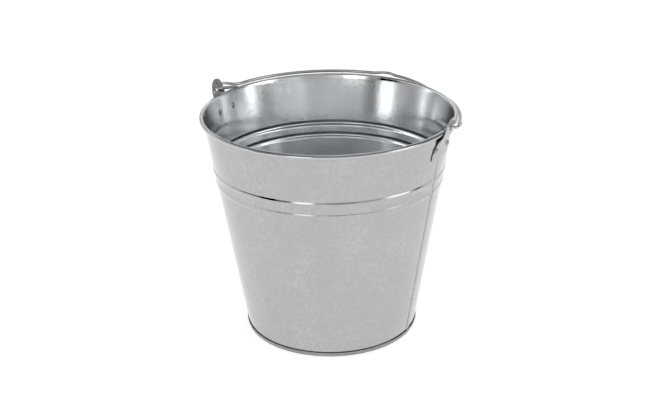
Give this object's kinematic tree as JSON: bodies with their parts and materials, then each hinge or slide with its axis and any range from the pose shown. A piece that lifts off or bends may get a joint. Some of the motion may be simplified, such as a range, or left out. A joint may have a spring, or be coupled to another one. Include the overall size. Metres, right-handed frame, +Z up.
{
  "type": "florist bucket",
  "caption": "Round tapered galvanised steel bucket with beads, a curled rim, riveted ears and a wire bail that swings over the top.",
  "frame": {"origin": "on the bucket's axis, in the plane of the flat underside of the bottom disc that it stands on", "axes": "+Z up along the bucket's axis; +X and -X through the two ears, with the side seam under the +X ear; +Y towards the side that the bail lies folded on"},
  "size_m": [0.3218, 0.3052, 0.2852],
  "materials": {
    "galvanised_sheet": "hot-dip galvanised, glossy with a fine spangle",
    "galvanised_bottom": "hot-dip galvanised, glossy with a fine spangle",
    "galvanised_ear": "galvanised, stamped, half gloss",
    "rivet_steel": "zinc plated, half gloss",
    "galvanised_wire": "galvanised drawn wire, half gloss"
  },
  "bodies": {
    "bucket": {"body_wall": "galvanised_sheet", "rim_wire": "galvanised_wire", "bottom_disc": "galvanised_bottom", "ear_right": "galvanised_ear", "ear_left": "galvanised_ear", "rivet_right_front": "rivet_steel", "rivet_right_back": "rivet_steel", "rivet_left_front": "rivet_steel", "rivet_left_back": "rivet_steel"},
    "bail": {"bail": "galvanised_wire"}
  },
  "joints": [
    {"name": "bail_swing", "type": "hinge", "parent": "bucket", "child": "bail", "pos_m": [0, 0, 0.2722], "axis": [0.9999, 0, -0.0118], "range_deg": [0, 181.3]}
  ]
}
